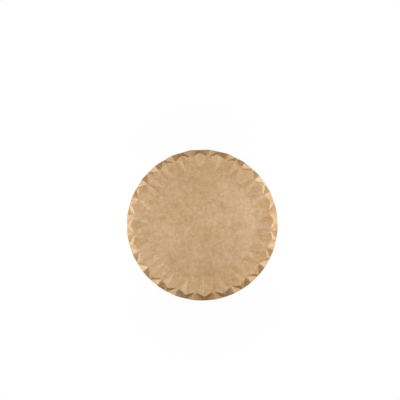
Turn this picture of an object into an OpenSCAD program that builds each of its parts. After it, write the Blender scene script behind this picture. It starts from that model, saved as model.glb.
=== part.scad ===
// Round paper plate with a gem-cut rim, pressed from one disc of kraft board.
// Millimetres, +Z up. The origin is the centre of the plate, on the plane that it stands on.
//
// The press folds the board along straight lines, and every face between them stays flat.
// Wall triangles rise from a flat floor to the crests. Between two crests lies a notch, lower
// than they are, and outside each notch the rim folds down steeply to a corner just past the
// trimmed edge. Midway between two corners a ridge ends high up on the edge, which the press
// has drawn in a little there.

/* [Plate] */
// Diameter of the trimmed edge across its lowest points
plate_d = 230; // [215:1:300]
// Thickness of the board
board_t = 0.5; // [0.3:0.1:1]
// Number of crests round the rim, and of the notches between them
crests = 24; // [16:1:32]

/* [Well] */
// Width of the flat floor, across its corners
floor_d = 164.4; // [110:0.2:176]
// How far the crests lie inside the trimmed edge
crest_inset = 13.2; // [10:0.1:18]
// Height of the crests above the floor
crest_h = 16; // [14.5:0.1:20]

/* [Rim] */
// How far the notches lie inside the trimmed edge
notch_inset = 6.4; // [4:0.1:8]
// Height of the notches above the floor
notch_h = 13.8; // [10:0.1:14.5]
// How far past the trimmed edge the folds would meet in their corners
corner_reach = 2; // [0.6:0.1:3]
// Height of these corners above the floor
corner_h = 5.9; // [2:0.1:7]
// Height of the trimmed edge above the floor, midway between two corners
edge_h = 13.4; // [9:0.1:14]
// How far the edge is drawn in for each millimetre that it stands above its lowest points
edge_draw = 0.14; // [0:0.01:0.3]

/* [Hidden] */
kraft = [0.79, 0.66, 0.50];
edge_facets = 240;

edge_r = plate_d / 2;
corner_r = edge_r + corner_reach;
// Height of the edge's lowest points, on the notch lines
low_h = notch_h + (corner_h - notch_h) * notch_inset / (notch_inset + corner_reach);
// The ridge keeps its slope past the trimmed edge, as far out as the corners.
ridge_h = crest_h + (edge_h - crest_h) * (crest_inset + corner_reach) / crest_inset;

// Folds meet on notch lines and, half a step further round, on crest lines.
step_angle = 360 / crests;
half_angle = step_angle / 2;

// Where folds meet on the upper face: [radius, angle, height above the floor]
floor_at = [floor_d / 2, 0, 0];
crest_at = [edge_r - crest_inset, half_angle, crest_h];
notch_at = [edge_r - notch_inset, 0, notch_h];
corner_at = [corner_r, 0, corner_h];
ridge_at = [corner_r, half_angle, ridge_h];

// Point in space of such a place, turned round the plate by an angle
function spot(place, turn = 0) = [
    place[0] * cos(place[1] + turn),
    place[0] * sin(place[1] + turn),
    place[2]
];

// Upward normal of the flat face through three places, anticlockwise as seen from above
function face_normal(a, b, c, turn = 0) =
    let (n = cross(spot(b) - spot(a), spot(c, turn) - spot(a)))
    n / norm(n);

// One face of each kind, on the first step round the plate
wall_n = face_normal(floor_at, crest_at, floor_at, step_angle);
flank_n = face_normal(floor_at, notch_at, crest_at);
sliver_n = face_normal(notch_at, corner_at, crest_at);
lip_n = face_normal(corner_at, ridge_at, crest_at);

// Outward and upward part of a face's normal, in the upright plane through the place
function in_plane(n, place) = [n[0] * cos(place[1]) + n[1] * sin(place[1]), n[2]];
function total(values, i = 0) = i < len(values) ? values[i] + total(values, i + 1) : 0;

// The lower face of the board runs parallel to the upper one. The same place there has moved
// inside its upright plane by [out, up], where each face that it touches asks for
// out * n[0] + up * n[1] = -board_t. Least squares settle a place with more than two kinds.
function below(place, normals) =
    let (
        n = [for (face = normals) in_plane(face, place)],
        a = total([for (v = n) v[0] * v[0]]),
        b = total([for (v = n) v[0] * v[1]]),
        c = total([for (v = n) v[1] * v[1]]),
        d = -board_t * total([for (v = n) v[0]]),
        e = -board_t * total([for (v = n) v[1]]),
        scale = a * c - b * b
    )
    place + [(c * d - b * e) / scale, 0, (a * e - b * d) / scale];

// The floor's lower face is level, so its corners move down by one thickness and the rest outward.
function below_floor(place, normals) =
    let (
        n = [for (face = normals) in_plane(face, place)],
        out = board_t * total([for (v = n) v[0] * (v[1] - 1)]) / total([for (v = n) v[0] * v[0]])
    )
    place + [out, 0, -board_t];

// The ridge has one kind of face on both sides and moves straight down.
function straight_below(place, n) = place - [0, 0, board_t / n[2]];

upper = [floor_at, crest_at, notch_at, corner_at, ridge_at];
lower = [
    below_floor(floor_at, [wall_n, flank_n]),
    below(crest_at, [wall_n, flank_n, sliver_n, lip_n]),
    below(notch_at, [flank_n, sliver_n]),
    below(corner_at, [sliver_n, lip_n]),
    straight_below(ridge_at, lip_n)
];

// Number of each kind of place in those lists
at_floor = 0;
at_crest = 1;
at_notch = 2;
at_corner = 3;
at_ridge = 4;

// Corner of a face: a kind of place, on a step counted round the plate
function id(kind, i) = kind * crests + i % crests;
function reversed(list) = [for (i = [len(list) - 1:-1:0]) list[i]];

// Faces of one side of the sheet, anticlockwise as seen from above
function floor_face() = [for (i = [0:crests - 1]) id(at_floor, i)];
function step_faces(i) = [
    [id(at_floor, i), id(at_crest, i), id(at_floor, i + 1)],
    [id(at_floor, i), id(at_notch, i), id(at_crest, i)],
    [id(at_floor, i + 1), id(at_crest, i), id(at_notch, i + 1)],
    [id(at_notch, i), id(at_corner, i), id(at_crest, i)],
    [id(at_notch, i + 1), id(at_crest, i), id(at_corner, i + 1)],
    [id(at_corner, i), id(at_ridge, i), id(at_crest, i)],
    [id(at_corner, i + 1), id(at_crest, i), id(at_ridge, i)]
];
side_faces = [floor_face(), for (i = [0:crests - 1]) each step_faces(i)];

// Band that closes the sheet between two neighbours on its rim
function band(a, b, lift) = [[a, b, b + lift], [a, b + lift, a + lift]];

// The whole folded sheet, with its corners and ridges still past the trim line
module folded_sheet() {
    rings = [for (place = concat(upper, lower)) [for (i = [0:crests - 1]) spot(place, i * step_angle)]];
    lift = len(upper) * crests;
    polyhedron(
        points = [for (ring = rings) each ring],
        faces = [
            for (face = side_faces) reversed(face),
            for (face = side_faces) [for (k = face) k + lift],
            for (i = [0:crests - 1]) each band(id(at_corner, i), id(at_ridge, i), lift),
            for (i = [0:crests - 1]) each band(id(at_ridge, i), id(at_corner, i + 1), lift)
        ]
    );
}

// Room inside the trimmed edge: a blunt cone with its full width at the edge's lowest points
module trim() {
    height = crest_h + 2 * board_t;
    cylinder(r1 = edge_r + edge_draw * low_h, r2 = edge_r + edge_draw * (low_h - height), h = height, $fn = edge_facets);
}

// The folded sheet inside its trimmed edge
module plate() {
    color(kraft)
    intersection() {
        translate([0, 0, board_t])
            folded_sheet();
        trim();
    }
}

plate();
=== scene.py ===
"""Kraft paper plate with a gem-cut rim: its looks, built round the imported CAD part.

Everything is in metres and in the part's own frame: +Z up out of the well, the origin below
the middle of the floor, +X through a notch of the rim.
"""

import logging
import math
from dataclasses import dataclass, field
from enum import Enum

import bpy
import numpy as np
from mathutils import Matrix, Vector


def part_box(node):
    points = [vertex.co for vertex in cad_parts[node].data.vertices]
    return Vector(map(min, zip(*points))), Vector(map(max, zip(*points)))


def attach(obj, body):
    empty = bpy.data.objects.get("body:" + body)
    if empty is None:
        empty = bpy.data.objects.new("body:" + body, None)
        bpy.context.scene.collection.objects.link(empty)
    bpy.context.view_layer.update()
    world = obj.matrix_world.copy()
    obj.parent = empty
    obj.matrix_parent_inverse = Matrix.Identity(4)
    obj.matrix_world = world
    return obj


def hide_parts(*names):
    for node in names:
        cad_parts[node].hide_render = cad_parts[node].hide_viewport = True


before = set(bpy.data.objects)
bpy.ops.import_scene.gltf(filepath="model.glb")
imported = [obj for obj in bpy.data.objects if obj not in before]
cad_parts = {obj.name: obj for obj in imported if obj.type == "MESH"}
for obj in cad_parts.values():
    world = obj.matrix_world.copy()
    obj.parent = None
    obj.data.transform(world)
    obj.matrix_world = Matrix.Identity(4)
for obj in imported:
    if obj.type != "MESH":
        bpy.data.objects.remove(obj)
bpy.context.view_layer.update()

log = logging.getLogger("paper_plate")

NODE = "plate"
BODY = "root"
WHITE = (1.0, 1.0, 1.0, 1.0)
GOLDEN_ANGLE = 2.399963

Pair = tuple[float, float]
Triple = tuple[float, float, float]
Socket = bpy.types.NodeSocket


class Side(Enum):
    """The three finishes on one sheet of board, in the order of its material slots."""

    FACE = 0
    BACK = 1
    CUT = 2


def less_of(a: np.ndarray, b: np.ndarray, reach: float) -> np.ndarray:
    """Smaller of two heights, with the fold between them rounded over.

    Where the two differ by less than reach, the result dips by (reach - difference) squared over
    four times reach, which joins both sides without a kink.

    Args:
        a: First height at each point.
        b: Second height at each point.
        reach: Difference of height at which the rounding starts.

    Returns:
        The rounded smaller height at each point.
    """
    near = np.maximum(reach - np.abs(a - b), 0.0)
    return np.minimum(a, b) - near**2 / (4.0 * reach)


def more_of(a: np.ndarray, b: np.ndarray, reach: float) -> np.ndarray:
    """Larger of two heights, rounded over in the same way as less_of."""
    return -less_of(-a, -b, reach)


def eased(count: int) -> np.ndarray:
    """Shares from 0 to 1 in count steps, close together at both ends, as half a cosine wave."""
    return (1.0 - np.cos(np.linspace(0.0, math.pi, count + 1))) / 2.0


@dataclass(frozen=True)
class Place:
    """Where folds meet on the upper face."""

    radius: float
    angle: float
    height: float

    def point(self, turn: float = 0.0) -> np.ndarray:
        """Point in space, turned round the plate by an angle."""
        angle = self.angle + turn
        return np.array([self.radius * math.cos(angle), self.radius * math.sin(angle), self.height])


@dataclass(frozen=True)
class Facet:
    """A flat face of the rim: its height is rise_x * x + rise_y * y + base."""

    rise_x: float
    rise_y: float
    base: float

    @classmethod
    def through(cls, a: np.ndarray, b: np.ndarray, c: np.ndarray) -> "Facet":
        """Face through three points: its slopes come from their cross product.

        Args:
            a: First point.
            b: Second point.
            c: Third point.

        Returns:
            The face.
        """
        normal = np.cross(b - a, c - a)
        rise_x, rise_y = -normal[0] / normal[2], -normal[1] / normal[2]
        return cls(rise_x, rise_y, float(a[2] - rise_x * a[0] - rise_y * a[1]))

    def height(self, x: np.ndarray, y: np.ndarray) -> np.ndarray:
        """Height of the face's plane above each place."""
        return self.rise_x * x + self.rise_y * y + self.base

    def bend(self, other: "Facet") -> float:
        """Difference of slope between two faces."""
        return math.hypot(self.rise_x - other.rise_x, self.rise_y - other.rise_y)


@dataclass(frozen=True)
class RimForm:
    """Form of the upper face over one half step of the pattern.

    Wall triangles rise from the floor to the crests, flanks fold down between two crests to a
    notch, slivers fall steeply from the notch to a corner past the edge, and lips hang between
    these corners and the ridges outside the crests. Every fold is rounded over to fold_width on
    either side of it.
    """

    edge_radius: float
    crests: int
    floor_radius: float
    crest_radius: float
    crest_height: float
    notch_radius: float
    notch_height: float
    corner_radius: float
    corner_height: float
    edge_height: float
    edge_draw: float
    board: float
    fold_width: float = 0.0003
    edge_rounds: int = 4

    @property
    def half_step(self) -> float:
        """Angle from a notch line to the next crest line."""
        return math.pi / self.crests

    @property
    def floor_corner(self) -> Place:
        """Corner of the flat floor, on a notch line."""
        return Place(self.floor_radius, 0.0, 0.0)

    @property
    def crest(self) -> Place:
        """Highest point of the rim."""
        return Place(self.crest_radius, self.half_step, self.crest_height)

    @property
    def notch(self) -> Place:
        """Point between two crests."""
        return Place(self.notch_radius, 0.0, self.notch_height)

    @property
    def corner(self) -> Place:
        """Point past the edge where two slivers and two lips would meet."""
        return Place(self.corner_radius, 0.0, self.corner_height)

    @property
    def ridge(self) -> Place:
        """End of the ridge between two lips, where it meets the edge."""
        return Place(self.edge_radius, self.half_step, self.edge_height)

    def heights(self, radius: np.ndarray, angle: np.ndarray) -> np.ndarray:
        """Height of the upper face above the floor.

        It is the larger of nothing and the smallest of wall, flank and outer face, where the
        outer face is the larger of sliver and lip. Each kind of face is taken on both sides of
        its own line of symmetry, so the folds on those lines are rounded too.

        Args:
            radius: Distance of each point from the axis.
            angle: Angle of each point from the nearest notch line, from 0 to half a step.

        Returns:
            The height of each point.
        """
        step = 2.0 * self.half_step
        floor, crest, notch = self.floor_corner, self.crest, self.notch
        wall = Facet.through(floor.point(), crest.point(), floor.point(step))
        flank = Facet.through(floor.point(), notch.point(), crest.point())
        sliver = Facet.through(notch.point(), self.corner.point(), crest.point())
        lip = Facet.through(self.corner.point(), self.ridge.point(), crest.point())
        width = self.fold_width

        def seen_from(turn: float, sign: float) -> tuple[np.ndarray, np.ndarray]:
            """Places of the points as seen along a line of the pattern."""
            turned = turn + sign * angle
            return radius * np.cos(turned), radius * np.sin(turned)

        here, across = seen_from(0.0, 1.0), seen_from(step, -1.0)
        back = seen_from(0.0, -1.0)
        walls = less_of(wall.height(*here), wall.height(*back), width * 2.0 * abs(wall.rise_y))
        fold = width * 2.0 * abs(flank.rise_y)
        flanks = more_of(flank.height(*here), flank.height(*back), fold)
        flanks = less_of(flanks, flank.height(*across), fold)
        fold = width * 2.0 * abs(sliver.rise_y)
        slivers = less_of(sliver.height(*here), sliver.height(*back), fold)
        slivers = more_of(slivers, sliver.height(*across), fold)
        slope_out = lip.rise_y * math.cos(self.half_step) - lip.rise_x * math.sin(self.half_step)
        fold = width * 2.0 * abs(slope_out)
        lips = less_of(lip.height(*here), lip.height(*across), fold)
        lips = more_of(lips, lip.height(*back), width * 2.0 * abs(lip.rise_y))
        outer = more_of(slivers, lips, width * sliver.bend(lip))
        inner = less_of(walls, flanks, width * wall.bend(flank))
        raised = less_of(inner, outer, width * flank.bend(sliver))
        return more_of(np.zeros_like(raised), raised, width * math.hypot(wall.rise_x, wall.rise_y))

    def edge(self, angle: np.ndarray) -> np.ndarray:
        """Radius of the trimmed edge, which is drawn in where it stands above its lowest point.

        Args:
            angle: Angle of each ray from the nearest notch line.

        Returns:
            The radius on each ray, settled by a few rounds on the height at the last radius.
        """
        widest = np.full_like(angle, self.edge_radius)
        lowest = self.heights(widest, np.zeros_like(angle)) - self.board
        radius = widest
        for _ in range(self.edge_rounds):
            radius = widest - self.edge_draw * (self.heights(radius, angle) - lowest)
        return radius

    def fold_radius(self, start: Place, end: Place, angle: np.ndarray) -> np.ndarray:
        """Distance from the axis at which a ray crosses the straight line between two places.

        Its inverse is the mean of the inverse radii, weighted by the sines of the angles to the
        other end and divided by the sine of the whole angle.

        Args:
            start: Place at the smaller angle.
            end: Place at the larger angle.
            angle: Angle of each ray.

        Returns:
            The distance on each ray.
        """
        whole = math.sin(end.angle - start.angle)
        inverse = np.sin(end.angle - angle) / start.radius + np.sin(angle - start.angle) / end.radius
        return whole / inverse


@dataclass(frozen=True)
class SheetGrid:
    """Rays and rings of points over one half step, close together at the folds."""

    rays: int = 12
    floor_rings: int = 12
    wall_rings: int = 9
    flank_rings: int = 11
    sliver_rings: int = 8
    lip_rings: int = 9
    least_gap: float = 0.00022

    def angles(self, form: RimForm) -> np.ndarray:
        """Angles of the rays from a notch line to a crest line."""
        return form.half_step * eased(self.rays)

    def radii(self, form: RimForm, reach: np.ndarray) -> np.ndarray:
        """Distance of every grid point from the axis.

        Each ray is cut where it crosses the floor's side, the fold from floor to crest, the fold
        from notch to crest, the fold from corner to crest, and the edge. Between two cuts the
        points lie on an eased scale, and cuts are kept apart by a least gap.

        Args:
            form: The rim's form.
            reach: Radius of the outermost ring on each ray.

        Returns:
            One row of radii for each ring, from the axis outwards, without the axis itself.
        """
        angle = self.angles(form)
        next_floor = Place(form.floor_radius, 2.0 * form.half_step, 0.0)
        cuts = [
            form.fold_radius(form.floor_corner, next_floor, angle),
            form.fold_radius(form.floor_corner, form.crest, angle),
            form.fold_radius(form.notch, form.crest, angle),
            form.fold_radius(form.corner, form.crest, angle),
            reach,
        ]
        for i in range(1, len(cuts) - 1):
            cuts[i] = np.maximum(cuts[i], cuts[i - 1] + self.least_gap)
        for i in range(len(cuts) - 2, 0, -1):
            cuts[i] = np.minimum(cuts[i], cuts[i + 1] - self.least_gap)
        counts = [self.wall_rings, self.flank_rings, self.sliver_rings, self.lip_rings]
        inward = np.sin(np.linspace(0.0, math.pi / 2.0, self.floor_rings + 1))[1:, None]
        rows = [cuts[0][None, :] * inward]
        for start, end, count in zip(cuts[:-1], cuts[1:], counts):
            rows.append(start[None, :] + (end - start)[None, :] * eased(count)[1:, None])
        return np.concatenate(rows)


@dataclass(frozen=True)
class Waves:
    """Sine waves of one strength, whose length and start change from row to row."""

    strength: float
    length: float
    tighter: float
    start: float

    def lift(self, along: np.ndarray, row: int) -> np.ndarray:
        """Height added at each distance along the waves.

        It is the strength times the sine of a full turn for each length; each row's waves are
        shorter than the last row's and start a little further on.

        Args:
            along: Distance across the waves.
            row: Number of the row.

        Returns:
            The added height.
        """
        phase = 2.0 * math.pi * along / self.length * (1.0 + self.tighter * row)
        return self.strength * np.sin(phase + self.start * row)


@dataclass(frozen=True)
class Unevenness:
    """Small departures of pressed board from its ideal form: a long swell and a short ripple."""

    swell: Waves = Waves(strength=0.00006, length=0.075, tighter=0.13, start=1.7)
    ripple: Waves = Waves(strength=0.00003, length=0.021, tighter=0.17, start=2.9)
    rows: int = 5

    def lift(self, x: np.ndarray, y: np.ndarray) -> np.ndarray:
        """Height added at each place: the mean of the rows, each turned by the golden angle.

        Args:
            x: Place along +X.
            y: Place along +Y.

        Returns:
            The added height, between minus and plus the two strengths together.
        """
        total = np.zeros_like(x)
        for row in range(self.rows):
            along = x * math.cos(GOLDEN_ANGLE * row) + y * math.sin(GOLDEN_ANGLE * row)
            total += self.swell.lift(along, row)
            total += self.ripple.lift(along, row)
        return total / self.rows


@dataclass
class PlateBoard:
    """The folded disc of board: a closed sheet with an upper face, a lower face and a cut edge.

    Between the two faces the cut edge bulges outwards by edge_round, in edge_steps rings.
    """

    form: RimForm
    grid: SheetGrid = field(default_factory=SheetGrid)
    unevenness: Unevenness = field(default_factory=Unevenness)
    edge_round: float = 0.00007
    edge_steps: int = 5
    edge_power: float = 4.0
    slope_step: float = 1e-6

    def half_faces(self) -> tuple[np.ndarray, np.ndarray, np.ndarray, np.ndarray]:
        """Radii, heights and slopes of the upper face over one half step.

        A slope is the difference of the heights a slope_step to either side, over the distance
        between them.

        Returns:
            Radius, height, slope outwards and slope sideways at every grid point.
        """
        angle = self.grid.angles(self.form)
        radius = self.grid.radii(self.form, self.form.edge(angle) - self.edge_round)
        angles = np.broadcast_to(angle, radius.shape)
        heights = self.form.heights
        step = self.slope_step
        turn = step / radius
        outward = (heights(radius + step, angles) - heights(radius - step, angles)) / (2 * step)
        sideways = (heights(radius, angles + turn) - heights(radius, angles - turn)) / (2 * step)
        sideways[:, [0, -1]] = 0.0
        return radius, heights(radius, angles), outward, sideways

    def whole(self, half: np.ndarray, sign: float = 1.0) -> np.ndarray:
        """A half step's values mirrored and repeated all the way round.

        Args:
            half: Values over one half step, one row for each ring.
            sign: -1 for values that change sign in the mirror.

        Returns:
            Values on every ray of the plate.
        """
        mirrored = sign * half[:, -2:0:-1]
        return np.tile(np.concatenate([half, mirrored], axis=1), (1, self.form.crests))

    def points(self) -> tuple[np.ndarray, np.ndarray, np.ndarray]:
        """Points of the upper face, the cut edge and the lower face.

        The lower face is the upper one moved by the board's thickness against its normal. The
        cut edge bulges outwards between them by the fourth root of one minus the fourth power
        of the place across the thickness, which runs from -1 to 1.

        Returns:
            The three grids of points, each with a last axis of x, y and z.
        """
        radius, height, outward, sideways = self.half_faces()
        angle = self.grid.angles(self.form)
        mirrored = 2.0 * self.form.half_step - angle[-2:0:-1]
        step = np.concatenate([angle, mirrored])
        turns = 2.0 * self.form.half_step * np.arange(self.form.crests)
        ray = (turns[:, None] + step[None, :]).ravel()[None, :]
        radius, height = self.whole(radius), self.whole(height)
        outward, sideways = self.whole(outward), self.whole(sideways, -1.0)
        x, y = radius * np.cos(ray), radius * np.sin(ray)
        height = height + self.form.board + self.unevenness.lift(x, y)
        upper = np.stack([x, y, height], axis=-1)
        out = np.stack([np.cos(ray), np.sin(ray), np.zeros_like(ray)], axis=-1)
        side = np.stack([-np.sin(ray), np.cos(ray), np.zeros_like(ray)], axis=-1)
        normal = -outward[..., None] * out - sideways[..., None] * side
        normal[..., 2] += 1.0
        normal /= np.linalg.norm(normal, axis=-1, keepdims=True)
        lower = upper - self.form.board * normal
        rim, rim_normal, rim_out = upper[-1], normal[-1], out[0]
        across = rim_out - (rim_out * rim_normal).sum(-1, keepdims=True) * rim_normal
        across /= np.linalg.norm(across, axis=-1, keepdims=True)
        share = ((np.arange(self.edge_steps) + 0.5) / self.edge_steps)[:, None, None]
        bulge = (1.0 - (2.0 * share - 1.0) ** self.edge_power) ** (1.0 / self.edge_power)
        cut = rim - self.form.board * share * rim_normal + self.edge_round * bulge * across
        return upper, cut, lower

    def build(self) -> bpy.types.Object:
        """The mesh: rings of the upper face, over the edge and back along the lower face.

        Four neighbours on two rings make a face, and triangles round a middle point close the
        first and the last ring. The lowest point is set on the table.

        Returns:
            The plate's object, with its finishes still to come.
        """
        upper, cut, lower = self.points()
        rings = np.concatenate([upper, cut, lower[::-1]])
        count, rays = rings.shape[:2]
        top = np.array([[0.0, 0.0, upper[0, :, 2].mean()]])
        bottom = np.array([[0.0, 0.0, lower[0, :, 2].mean()]])
        vertices = np.concatenate([rings.reshape(-1, 3), top, bottom])
        vertices[:, 2] -= vertices[:, 2].min()
        ring, ray = np.meshgrid(np.arange(count - 1), np.arange(rays), indexing="ij")
        start, next_start = ring * rays, (ring + 1) * rays
        after = (ray + 1) % rays
        quads = np.stack([start + ray, next_start + ray, next_start + after, start + after], -1)
        quads = quads.reshape(-1, 4)
        rim = np.arange(rays)
        rim_after = (rim + 1) % rays
        hub = np.stack([np.full(rays, count * rays), rim, rim_after], -1)
        base = (count - 1) * rays
        foot = np.stack([np.full(rays, count * rays + 1), base + rim_after, base + rim], -1)
        mesh = bpy.data.meshes.new("plate_board")
        mesh.from_pydata(vertices.tolist(), [], quads.tolist() + hub.tolist() + foot.tolist())
        rows = len(upper)
        kinds = np.full(count - 1, Side.CUT.value)
        kinds[: rows - 1] = Side.FACE.value
        kinds[rows + self.edge_steps :] = Side.BACK.value
        sides = np.concatenate([
            np.repeat(kinds, rays), np.full(rays, Side.FACE.value), np.full(rays, Side.BACK.value)
        ])
        mesh.polygons.foreach_set("material_index", sides.astype(np.int32))
        mesh.polygons.foreach_set("use_smooth", np.ones(len(sides), bool))
        mesh.update()
        piece = bpy.data.objects.new("plate_board", mesh)
        bpy.context.scene.collection.objects.link(piece)
        return piece

    def dress(self, piece: bpy.types.Object, finishes: dict[Side, "KraftFinish"]) -> None:
        """Give each side of the sheet its finish.

        Args:
            piece: The plate's object.
            finishes: The finish of each side.
        """
        for side in Side:
            piece.data.materials.append(finishes[side].material())


@dataclass(frozen=True)
class Tones:
    """Colours of the pulp, as linear red, green and blue: thin pulp is paler, dense pulp browner.

    The share by which pulp departs from the base colour grows from red to blue, because the
    brown of kraft takes away blue most.
    """

    base: Triple = (0.54, 0.346, 0.159)
    spread: Triple = (0.155, 0.315, 0.555)
    speck: Triple = (0.26, 0.145, 0.07)

    def of(self, density: float) -> tuple[float, float, float, float]:
        """Colour of pulp that is thinner (below zero) or denser (above zero) than usual.

        Args:
            density: Departure, from -1 for the thinnest clouds to 1 for the densest.

        Returns:
            The colour: each base value times one minus its spread times the departure.
        """
        r, g, b = (value * (1.0 - density * share) for value, share in zip(self.base, self.spread))
        return (r, g, b, 1.0)


class Nodes:
    """Short way to make and join the nodes of one material or world."""

    # Places of a mix node's colour sockets, whose names its number sockets share.
    mix_first, mix_second, mix_result = 6, 7, 2

    def __init__(self, owner: bpy.types.Material | bpy.types.World) -> None:
        """Start with an empty tree.

        Args:
            owner: The material or world that the nodes are for.
        """
        owner.use_nodes = True
        self.tree = owner.node_tree
        self.tree.nodes.clear()

    def add(self, kind: str, **settings: object) -> bpy.types.Node:
        """Make a node.

        Args:
            kind: Blender's name of the node type.
            settings: Properties of the node.

        Returns:
            The node.
        """
        node = self.tree.nodes.new(kind)
        for name, value in settings.items():
            setattr(node, name, value)
        return node

    def feed(self, socket: Socket, value: object) -> None:
        """Join an output to an input, or set the input to a plain value."""
        if isinstance(value, Socket):
            self.tree.links.new(value, socket)
        else:
            socket.default_value = value

    def camera_ray(self) -> Socket:
        """One on what the camera sees straight away, and nothing on every other ray."""
        return self.add("ShaderNodeLightPath").outputs["Is Camera Ray"]

    def placed(self, shift: Triple, turn: float, stretch: Triple) -> Socket:
        """Object coordinates that are shifted, turned about Z and stretched.

        Args:
            shift: Distance moved, in metres.
            turn: Angle about Z.
            stretch: Factor on each axis.

        Returns:
            The coordinates.
        """
        source = self.add("ShaderNodeTexCoord").outputs["Object"]
        turned = self.add("ShaderNodeMapping")
        self.feed(turned.inputs["Vector"], source)
        self.feed(turned.inputs["Location"], shift)
        self.feed(turned.inputs["Rotation"], (0.0, 0.0, turn))
        scaled = self.add("ShaderNodeMapping")
        self.feed(scaled.inputs["Vector"], turned.outputs["Vector"])
        self.feed(scaled.inputs["Scale"], stretch)
        return scaled.outputs["Vector"]

    def noise(self, where: Socket, size: float, detail: float, rough: float, bent: float) -> Socket:
        """Cloudy noise.

        Args:
            where: Coordinates.
            size: Width of its largest clouds, in metres.
            detail: Number of finer layers.
            rough: Strength of each finer layer as a share of the one before.
            bent: How far the noise distorts itself.

        Returns:
            A value from 0 to 1, about 0.5 on average.
        """
        node = self.add("ShaderNodeTexNoise", noise_dimensions="3D")
        self.feed(node.inputs["Vector"], where)
        self.feed(node.inputs["Scale"], 1.0 / size)
        self.feed(node.inputs["Detail"], detail)
        self.feed(node.inputs["Roughness"], rough)
        self.feed(node.inputs["Distortion"], bent)
        return node.outputs["Fac"]

    def remap(self, value: Socket, span: Pair, to: Pair = (0.0, 1.0), how: str = "LINEAR") -> Socket:
        """A value moved from one range to another and held inside it.

        Args:
            value: The value.
            span: The two numbers at which its range starts and ends.
            to: The two results at the start and at the end.
            how: Blender's name of the way between them.

        Returns:
            The new value.
        """
        node = self.add("ShaderNodeMapRange", interpolation_type=how)
        self.feed(node.inputs["Value"], value)
        for name, number in zip(("From Min", "From Max", "To Min", "To Max"), (*span, *to)):
            self.feed(node.inputs[name], number)
        return node.outputs["Result"]

    def maths(self, operation: str, first: object, second: object) -> Socket:
        """Result of one operation on two values.

        Args:
            operation: Blender's name of the operation.
            first: A value or a number.
            second: A value or a number.

        Returns:
            The result.
        """
        node = self.add("ShaderNodeMath", operation=operation)
        self.feed(node.inputs[0], first)
        self.feed(node.inputs[1], second)
        return node.outputs["Value"]

    def blend(self, factor: object, first: object, second: object) -> Socket:
        """Mix of two colours.

        Args:
            factor: Share of the second colour.
            first: A colour.
            second: A colour.

        Returns:
            The colour.
        """
        node = self.add("ShaderNodeMix", data_type="RGBA", clamp_factor=True)
        self.feed(node.inputs["Factor"], factor)
        self.feed(node.inputs[self.mix_first], first)
        self.feed(node.inputs[self.mix_second], second)
        return node.outputs[self.mix_result]


@dataclass(frozen=True)
class Clouds:
    """One noise in the density of the pulp, with its share of the whole.

    Size is the width of its largest clouds. Each finer layer has evenness times the strength of
    the one before, so near one the clouds are about as strong at every size. Bend is how far the
    noise distorts itself, and shift how far it is moved aside.
    """

    size: float
    layers: float
    share: float
    shift: float = 0.0
    evenness: float = 0.93
    bend: float = 0.35


@dataclass(frozen=True)
class Fibres:
    """Short fibres that lie in a few directions: the tops of a noise that is drawn out thin.

    Along a fibre the coordinates are shortened to draw of their length. Cover is how strongly a
    fibre hides the pulp, density its departure on the scale of the tones, and height its rise in
    the relief, as a share of the fall from thin to dense pulp.
    """

    width: float = 0.00032
    draw: float = 0.11
    turns: tuple[float, ...] = (0.35, 0.95, 1.55, 2.15, 2.75)
    shift: float = 0.05
    layers: float = 1.5
    evenness: float = 0.4
    bend: float = 0.8
    tops: Pair = (0.62, 0.74)
    cover: float = 0.25
    density: float = -1.6
    height: float = 0.6


@dataclass(frozen=True)
class Specks:
    """Specks of bark: small discs round the points of a random pattern, of which a few show.

    Cell is the usual distance between two points, core the share of a speck's radius up to which
    it is full, shown the share of the points that bear one, and cover how strongly it hides the
    pulp.
    """

    cell: float = 0.011
    radius: float = 0.00042
    core: float = 0.6
    shown: float = 0.08
    shift: float = -0.17
    turn: float = 0.4
    cover: float = 0.7


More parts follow.
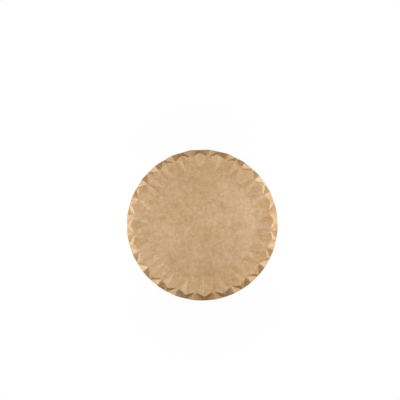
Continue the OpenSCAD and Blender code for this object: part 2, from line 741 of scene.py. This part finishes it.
@dataclass(frozen=True)
class KraftFinish:
    """Kraft board: cloudy pulp, short fibres that lie every way and a few specks of bark.

    Wide clouds and small flocs add up to one density of the pulp, and colour, roughness and
    relief all follow it. The density is at its ends where the noises are pulp_span from their
    mean. Between thin and dense pulp the roughness rises by twice roughness_play, and the relief
    falls by relief_depth, of which the share relief shows in the shading.
    """

    name: str
    tones: Tones = Tones()
    shift: Triple = (0.0, 0.0, 0.0)
    pulp: tuple[Clouds, ...] = (
        Clouds(size=0.034, layers=6.0, share=0.55),
        Clouds(size=0.006, layers=3.6, share=0.45, shift=0.31),
    )
    pulp_mean: float = 0.5
    pulp_span: float = 0.105
    fibres: Fibres = Fibres()
    specks: Specks = Specks()
    roughness: float = 0.5
    roughness_play: float = 0.01
    gloss: float = 0.5
    ior: float = 1.5
    relief: float = 0.06
    relief_depth: float = 0.00003

    def aside(self, nodes: Nodes, more: float, turn: float = 0.0, stretch: float = 1.0) -> Socket:
        """Object coordinates moved well away, so that patterns don't repeat each other.

        Args:
            nodes: The material's nodes.
            more: Extra distance on every axis, in metres.
            turn: Angle about Z.
            stretch: Factor along the turned Y axis.

        Returns:
            The coordinates.
        """
        return nodes.placed(tuple(value + more for value in self.shift), turn, (1.0, stretch, 1.0))

    def density(self, nodes: Nodes) -> Socket:
        """Density of the pulp: the noises by their shares, widened about their mean.

        Args:
            nodes: The material's nodes.

        Returns:
            A value from 0 for thin pulp to 1 for dense pulp.
        """
        total: object = 0.0
        for part in self.pulp:
            where = self.aside(nodes, part.shift)
            noise = nodes.noise(where, part.size, part.layers, part.evenness, part.bend)
            total = nodes.maths("ADD", total, nodes.maths("MULTIPLY", noise, part.share))
        ends = (self.pulp_mean - self.pulp_span, self.pulp_mean + self.pulp_span)
        return nodes.remap(total, ends)

    def fibre_cover(self, nodes: Nodes) -> Socket:
        """Where fibres lie: one drawn-out noise for each direction, added up.

        Args:
            nodes: The material's nodes.

        Returns:
            A value from 0 for none to 1 on a fibre.
        """
        kind = self.fibres
        total: object = 0.0
        for i, turn in enumerate(kind.turns):
            where = self.aside(nodes, kind.shift * (i + 1), turn, kind.draw)
            noise = nodes.noise(where, kind.width, kind.layers, kind.evenness, kind.bend)
            total = nodes.maths("ADD", total, nodes.remap(noise, kind.tops, how="SMOOTHSTEP"))
        return nodes.maths("MINIMUM", total, 1.0)

    def speck_cover(self, nodes: Nodes) -> Socket:
        """Where specks lie: near those points of the pattern whose random colour has little red.

        Args:
            nodes: The material's nodes.

        Returns:
            A value from 0 for none to 1 on a speck.
        """
        kind = self.specks
        cells = nodes.add("ShaderNodeTexVoronoi", voronoi_dimensions="3D", feature="F1")
        nodes.feed(cells.inputs["Vector"], self.aside(nodes, kind.shift, kind.turn))
        nodes.feed(cells.inputs["Scale"], 1.0 / kind.cell)
        reach = kind.radius / kind.cell
        fade = (kind.core * reach, reach)
        dots = nodes.remap(cells.outputs["Distance"], fade, (1.0, 0.0), "SMOOTHSTEP")
        split = nodes.add("ShaderNodeSeparateColor")
        nodes.feed(split.inputs["Color"], cells.outputs["Color"])
        shown = nodes.maths("LESS_THAN", split.outputs["Red"], kind.shown)
        return nodes.maths("MULTIPLY", dots, shown)

    def material(self) -> bpy.types.Material:
        """The finished material.

        Returns:
            A material on Object coordinates.
        """
        material = bpy.data.materials.new(self.name)
        nodes = Nodes(material)
        density = self.density(nodes)
        fibres = self.fibre_cover(nodes)
        specks = self.speck_cover(nodes)
        colour = nodes.blend(density, self.tones.of(-1.0), self.tones.of(1.0))
        fibre_share = nodes.maths("MULTIPLY", fibres, self.fibres.cover)
        colour = nodes.blend(fibre_share, colour, self.tones.of(self.fibres.density))
        speck_share = nodes.maths("MULTIPLY", specks, self.specks.cover)
        colour = nodes.blend(speck_share, colour, (*self.tones.speck, 1.0))
        rough = (self.roughness - self.roughness_play, self.roughness + self.roughness_play)
        shader = nodes.add("ShaderNodeBsdfPrincipled")
        nodes.feed(shader.inputs["Base Color"], colour)
        nodes.feed(shader.inputs["Roughness"], nodes.remap(density, (0.0, 1.0), rough))
        nodes.feed(shader.inputs["Specular IOR Level"], self.gloss)
        nodes.feed(shader.inputs["IOR"], self.ior)
        raised = nodes.maths("MULTIPLY", fibres, self.fibres.height)
        bump = nodes.add("ShaderNodeBump")
        nodes.feed(bump.inputs["Strength"], self.relief)
        nodes.feed(bump.inputs["Distance"], self.relief_depth)
        nodes.feed(bump.inputs["Height"], nodes.maths("SUBTRACT", raised, density))
        nodes.feed(shader.inputs["Normal"], bump.outputs["Normal"])
        output = nodes.add("ShaderNodeOutputMaterial")
        nodes.feed(output.inputs["Surface"], shader.outputs["BSDF"])
        return material


@dataclass(frozen=True)
class ViewPoint:
    """The photograph's camera: it looks down on the plate, almost from straight above.

    The plate's pixel and the focal length are in pixels of the square photograph, the sensor's
    width in millimetres, and the angles in degrees.
    """

    frame_pixels: float = 400.0
    plate_pixel: Pair = (202.13, 223.41)
    focal_pixels: float = 341.0
    sensor: float = 36.0
    distance: float = 0.5304
    tilt_x: float = -7.155
    tilt_y: float = -0.526
    roll: float = 1.922

    def place(self) -> bpy.types.Object:
        """Set up the camera.

        The plate's centre lies on the ray through its pixel at the given distance, and the
        plate's frame is rolled about its own axis and tilted about the picture's two axes.

        Returns:
            The camera.
        """
        middle = self.frame_pixels / 2.0
        ray = Vector((
            (self.plate_pixel[0] - middle) / self.focal_pixels,
            -(self.plate_pixel[1] - middle) / self.focal_pixels,
            -1.0,
        )).normalized()
        turn = (
            Matrix.Rotation(math.radians(self.tilt_x), 3, "X")
            @ Matrix.Rotation(math.radians(self.tilt_y), 3, "Y")
            @ Matrix.Rotation(math.radians(self.roll), 3, "Z")
        ).transposed()
        data = bpy.data.cameras.new("photo_view")
        data.sensor_width = self.sensor
        data.lens = self.focal_pixels / self.frame_pixels * self.sensor
        camera = bpy.data.objects.new("photo_view", data)
        camera.matrix_world = Matrix.Translation(-(turn @ (ray * self.distance))) @ turn.to_4x4()
        bpy.context.scene.collection.objects.link(camera)
        bpy.context.scene.camera = camera
        return camera


@dataclass(frozen=True)
class SoftLamp:
    """A square soft lamp that faces the plate.

    Its place is seen from the plate's middle, with the angles in degrees. Its share is the light
    that it gives the middle of the floor, where one makes a white surface just white.
    """

    name: str
    azimuth: float
    elevation: float
    distance: float
    size: float
    share: float

    def place(self) -> bpy.types.Object:
        """Hang the lamp.

        A square lamp of power P at a distance d gives a level surface P sin(elevation) over
        (pi d) squared times the brightness that a white surface shows, so P comes from the share.

        Returns:
            The lamp.
        """
        azimuth, elevation = math.radians(self.azimuth), math.radians(self.elevation)
        level = math.cos(elevation)
        direction = Vector((level * math.cos(azimuth), level * math.sin(azimuth), math.sin(elevation)))
        data = bpy.data.lights.new(self.name, "AREA")
        data.shape = "SQUARE"
        data.size = self.size
        data.energy = self.share * (math.pi * self.distance) ** 2 / math.sin(elevation)
        lamp = bpy.data.objects.new(self.name, data)
        turn = direction.to_track_quat("Z", "Y").to_matrix().to_4x4()
        lamp.matrix_world = Matrix.Translation(direction * self.distance) @ turn
        lamp.visible_camera = False
        bpy.context.scene.collection.objects.link(lamp)
        return lamp


@dataclass(frozen=True)
class Studio:
    """A table that looks white, soft lamps round the plate and an even sky.

    Of the table the camera sees a share of near_glow as plain white up to glow_start from the
    middle, and white alone beyond glow_end.
    """

    lamps: tuple[SoftLamp, ...]
    sky: Triple
    table_colour: Triple
    table_radius: float = 3.0
    table_gap: float = 0.0001
    near_glow: float = 0.965
    glow_start: float = 0.135
    glow_end: float = 0.24
    ring_points: int = 96

    def table(self) -> bpy.types.Object:
        """The table: a flat disc of triangles round its middle, just under the plate.

        Returns:
            The table.
        """
        count = self.ring_points
        corner = np.arange(count)
        angle = 2.0 * math.pi * corner / count
        ring = np.stack([np.cos(angle), np.sin(angle)], -1) * self.table_radius
        points = np.concatenate([ring, np.zeros((1, 2))])
        points = np.concatenate([points, np.full((count + 1, 1), -self.table_gap)], axis=1)
        faces = np.stack([np.full(count, count), corner, (corner + 1) % count], -1)
        mesh = bpy.data.meshes.new("table")
        mesh.from_pydata(points.tolist(), [], faces.tolist())
        mesh.materials.append(self.table_finish())
        table = bpy.data.objects.new("table", mesh)
        bpy.context.scene.collection.objects.link(table)
        return table

    def table_finish(self) -> bpy.types.Material:
        """Matt and warm to the plate, but to the camera mostly a plain white glow.

        The warm tone gives the shaded facets their brown. Close to the plate a small share of the
        matt table shows, and with it a faint shadow; further out there is only the glow.

        Returns:
            The table's material.
        """
        material = bpy.data.materials.new("white_table")
        nodes = Nodes(material)
        place = nodes.add("ShaderNodeTexCoord").outputs["Object"]
        length = nodes.add("ShaderNodeVectorMath", operation="LENGTH")
        nodes.feed(length.inputs[0], place)
        far, glowing = (self.glow_start, self.glow_end), (self.near_glow, 1.0)
        glow_share = nodes.remap(length.outputs["Value"], far, glowing, "SMOOTHSTEP")
        seen = nodes.camera_ray()
        matt = nodes.add("ShaderNodeBsdfDiffuse")
        nodes.feed(matt.inputs["Color"], nodes.blend(seen, (*self.table_colour, 1.0), WHITE))
        glow = nodes.add("ShaderNodeEmission")
        nodes.feed(glow.inputs["Color"], WHITE)
        nodes.feed(glow.inputs["Strength"], 1.0)
        mixed = nodes.add("ShaderNodeMixShader")
        nodes.feed(mixed.inputs["Fac"], nodes.maths("MULTIPLY", seen, glow_share))
        nodes.feed(mixed.inputs[1], matt.outputs["BSDF"])
        nodes.feed(mixed.inputs[2], glow.outputs["Emission"])
        output = nodes.add("ShaderNodeOutputMaterial")
        nodes.feed(output.inputs["Surface"], mixed.outputs["Shader"])
        return material

    def air(self) -> None:
        """The even light all round: warm on the plate, white to the camera."""
        world = bpy.data.worlds.new("studio")
        nodes = Nodes(world)
        glow = nodes.add("ShaderNodeBackground")
        nodes.feed(glow.inputs["Color"], nodes.blend(nodes.camera_ray(), (*self.sky, 1.0), WHITE))
        output = nodes.add("ShaderNodeOutputWorld")
        nodes.feed(output.inputs["Surface"], glow.outputs["Background"])
        bpy.context.scene.world = world

    def set_up(self) -> None:
        """Place table, air and lamps."""
        self.table()
        self.air()
        for lamp in self.lamps:
            lamp.place()


FINISHES = {
    Side.FACE: KraftFinish("kraft_face", ior=1.99, roughness=0.57),
    Side.BACK: KraftFinish("kraft_back", shift=(0.43, -0.27, 0.11), roughness=0.7, gloss=0.35, relief=0.2),
    Side.CUT: KraftFinish("kraft_cut", shift=(-0.21, 0.36, 0.19), roughness=0.85, gloss=0.2, relief=0.4),
}

STUDIO = Studio(
    lamps=(
        SoftLamp("left_lamp", azimuth=179.1, elevation=38.9, distance=0.256, size=0.241, share=0.442),
        SoftLamp("right_lamp", azimuth=1.3, elevation=43.1, distance=0.256, size=0.241, share=0.487),
        SoftLamp("left_low_lamp", azimuth=179.1, elevation=5.6, distance=0.8, size=0.25, share=0.03),
        SoftLamp("right_low_lamp", azimuth=1.3, elevation=5.6, distance=0.8, size=0.25, share=0.034),
        SoftLamp("upper_lamp", azimuth=45.4, elevation=55.6, distance=0.358, size=0.125, share=0.061),
    ),
    sky=(0.151, 0.105, 0.062),
    table_colour=(0.95, 0.62, 0.24),
)


def rim_form() -> RimForm:
    """The rim's form, with the size of the trimmed edge and the crests' height from the frame.

    The part's box reaches a little past the edge of the upper face, because the trim flares
    outwards through the board. The radii and heights of the other folds are the part's own.

    Returns:
        The form.
    """
    low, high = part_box(NODE)
    board = 0.0005
    flare = 0.00011
    return RimForm(
        edge_radius=(high.x - low.x) / 2.0 - flare,
        crests=24,
        floor_radius=0.0822,
        crest_radius=0.1018,
        crest_height=high.z - board,
        notch_radius=0.1086,
        notch_height=0.0138,
        corner_radius=0.117,
        corner_height=0.0059,
        edge_height=0.0134,
        edge_draw=0.14,
        board=board,
    )


def main() -> None:
    """Build the plate, dress it and set up the studio."""
    logging.basicConfig(level=logging.INFO, format="%(name)s: %(message)s")
    scene = bpy.context.scene
    scene.view_settings.view_transform = "Standard"
    plate = PlateBoard(rim_form())
    piece = plate.build()
    plate.dress(piece, FINISHES)
    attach(piece, BODY)
    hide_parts(NODE)
    log.info("plate_board: %d points, %d faces", len(piece.data.vertices), len(piece.data.polygons))
    STUDIO.set_up()
    log.info("studio: %d lamps, white table", len(STUDIO.lamps))
    camera = ViewPoint().place()
    log.info("camera: lens %.2f mm", camera.data.lens)


if __name__ == "__main__":
    main()
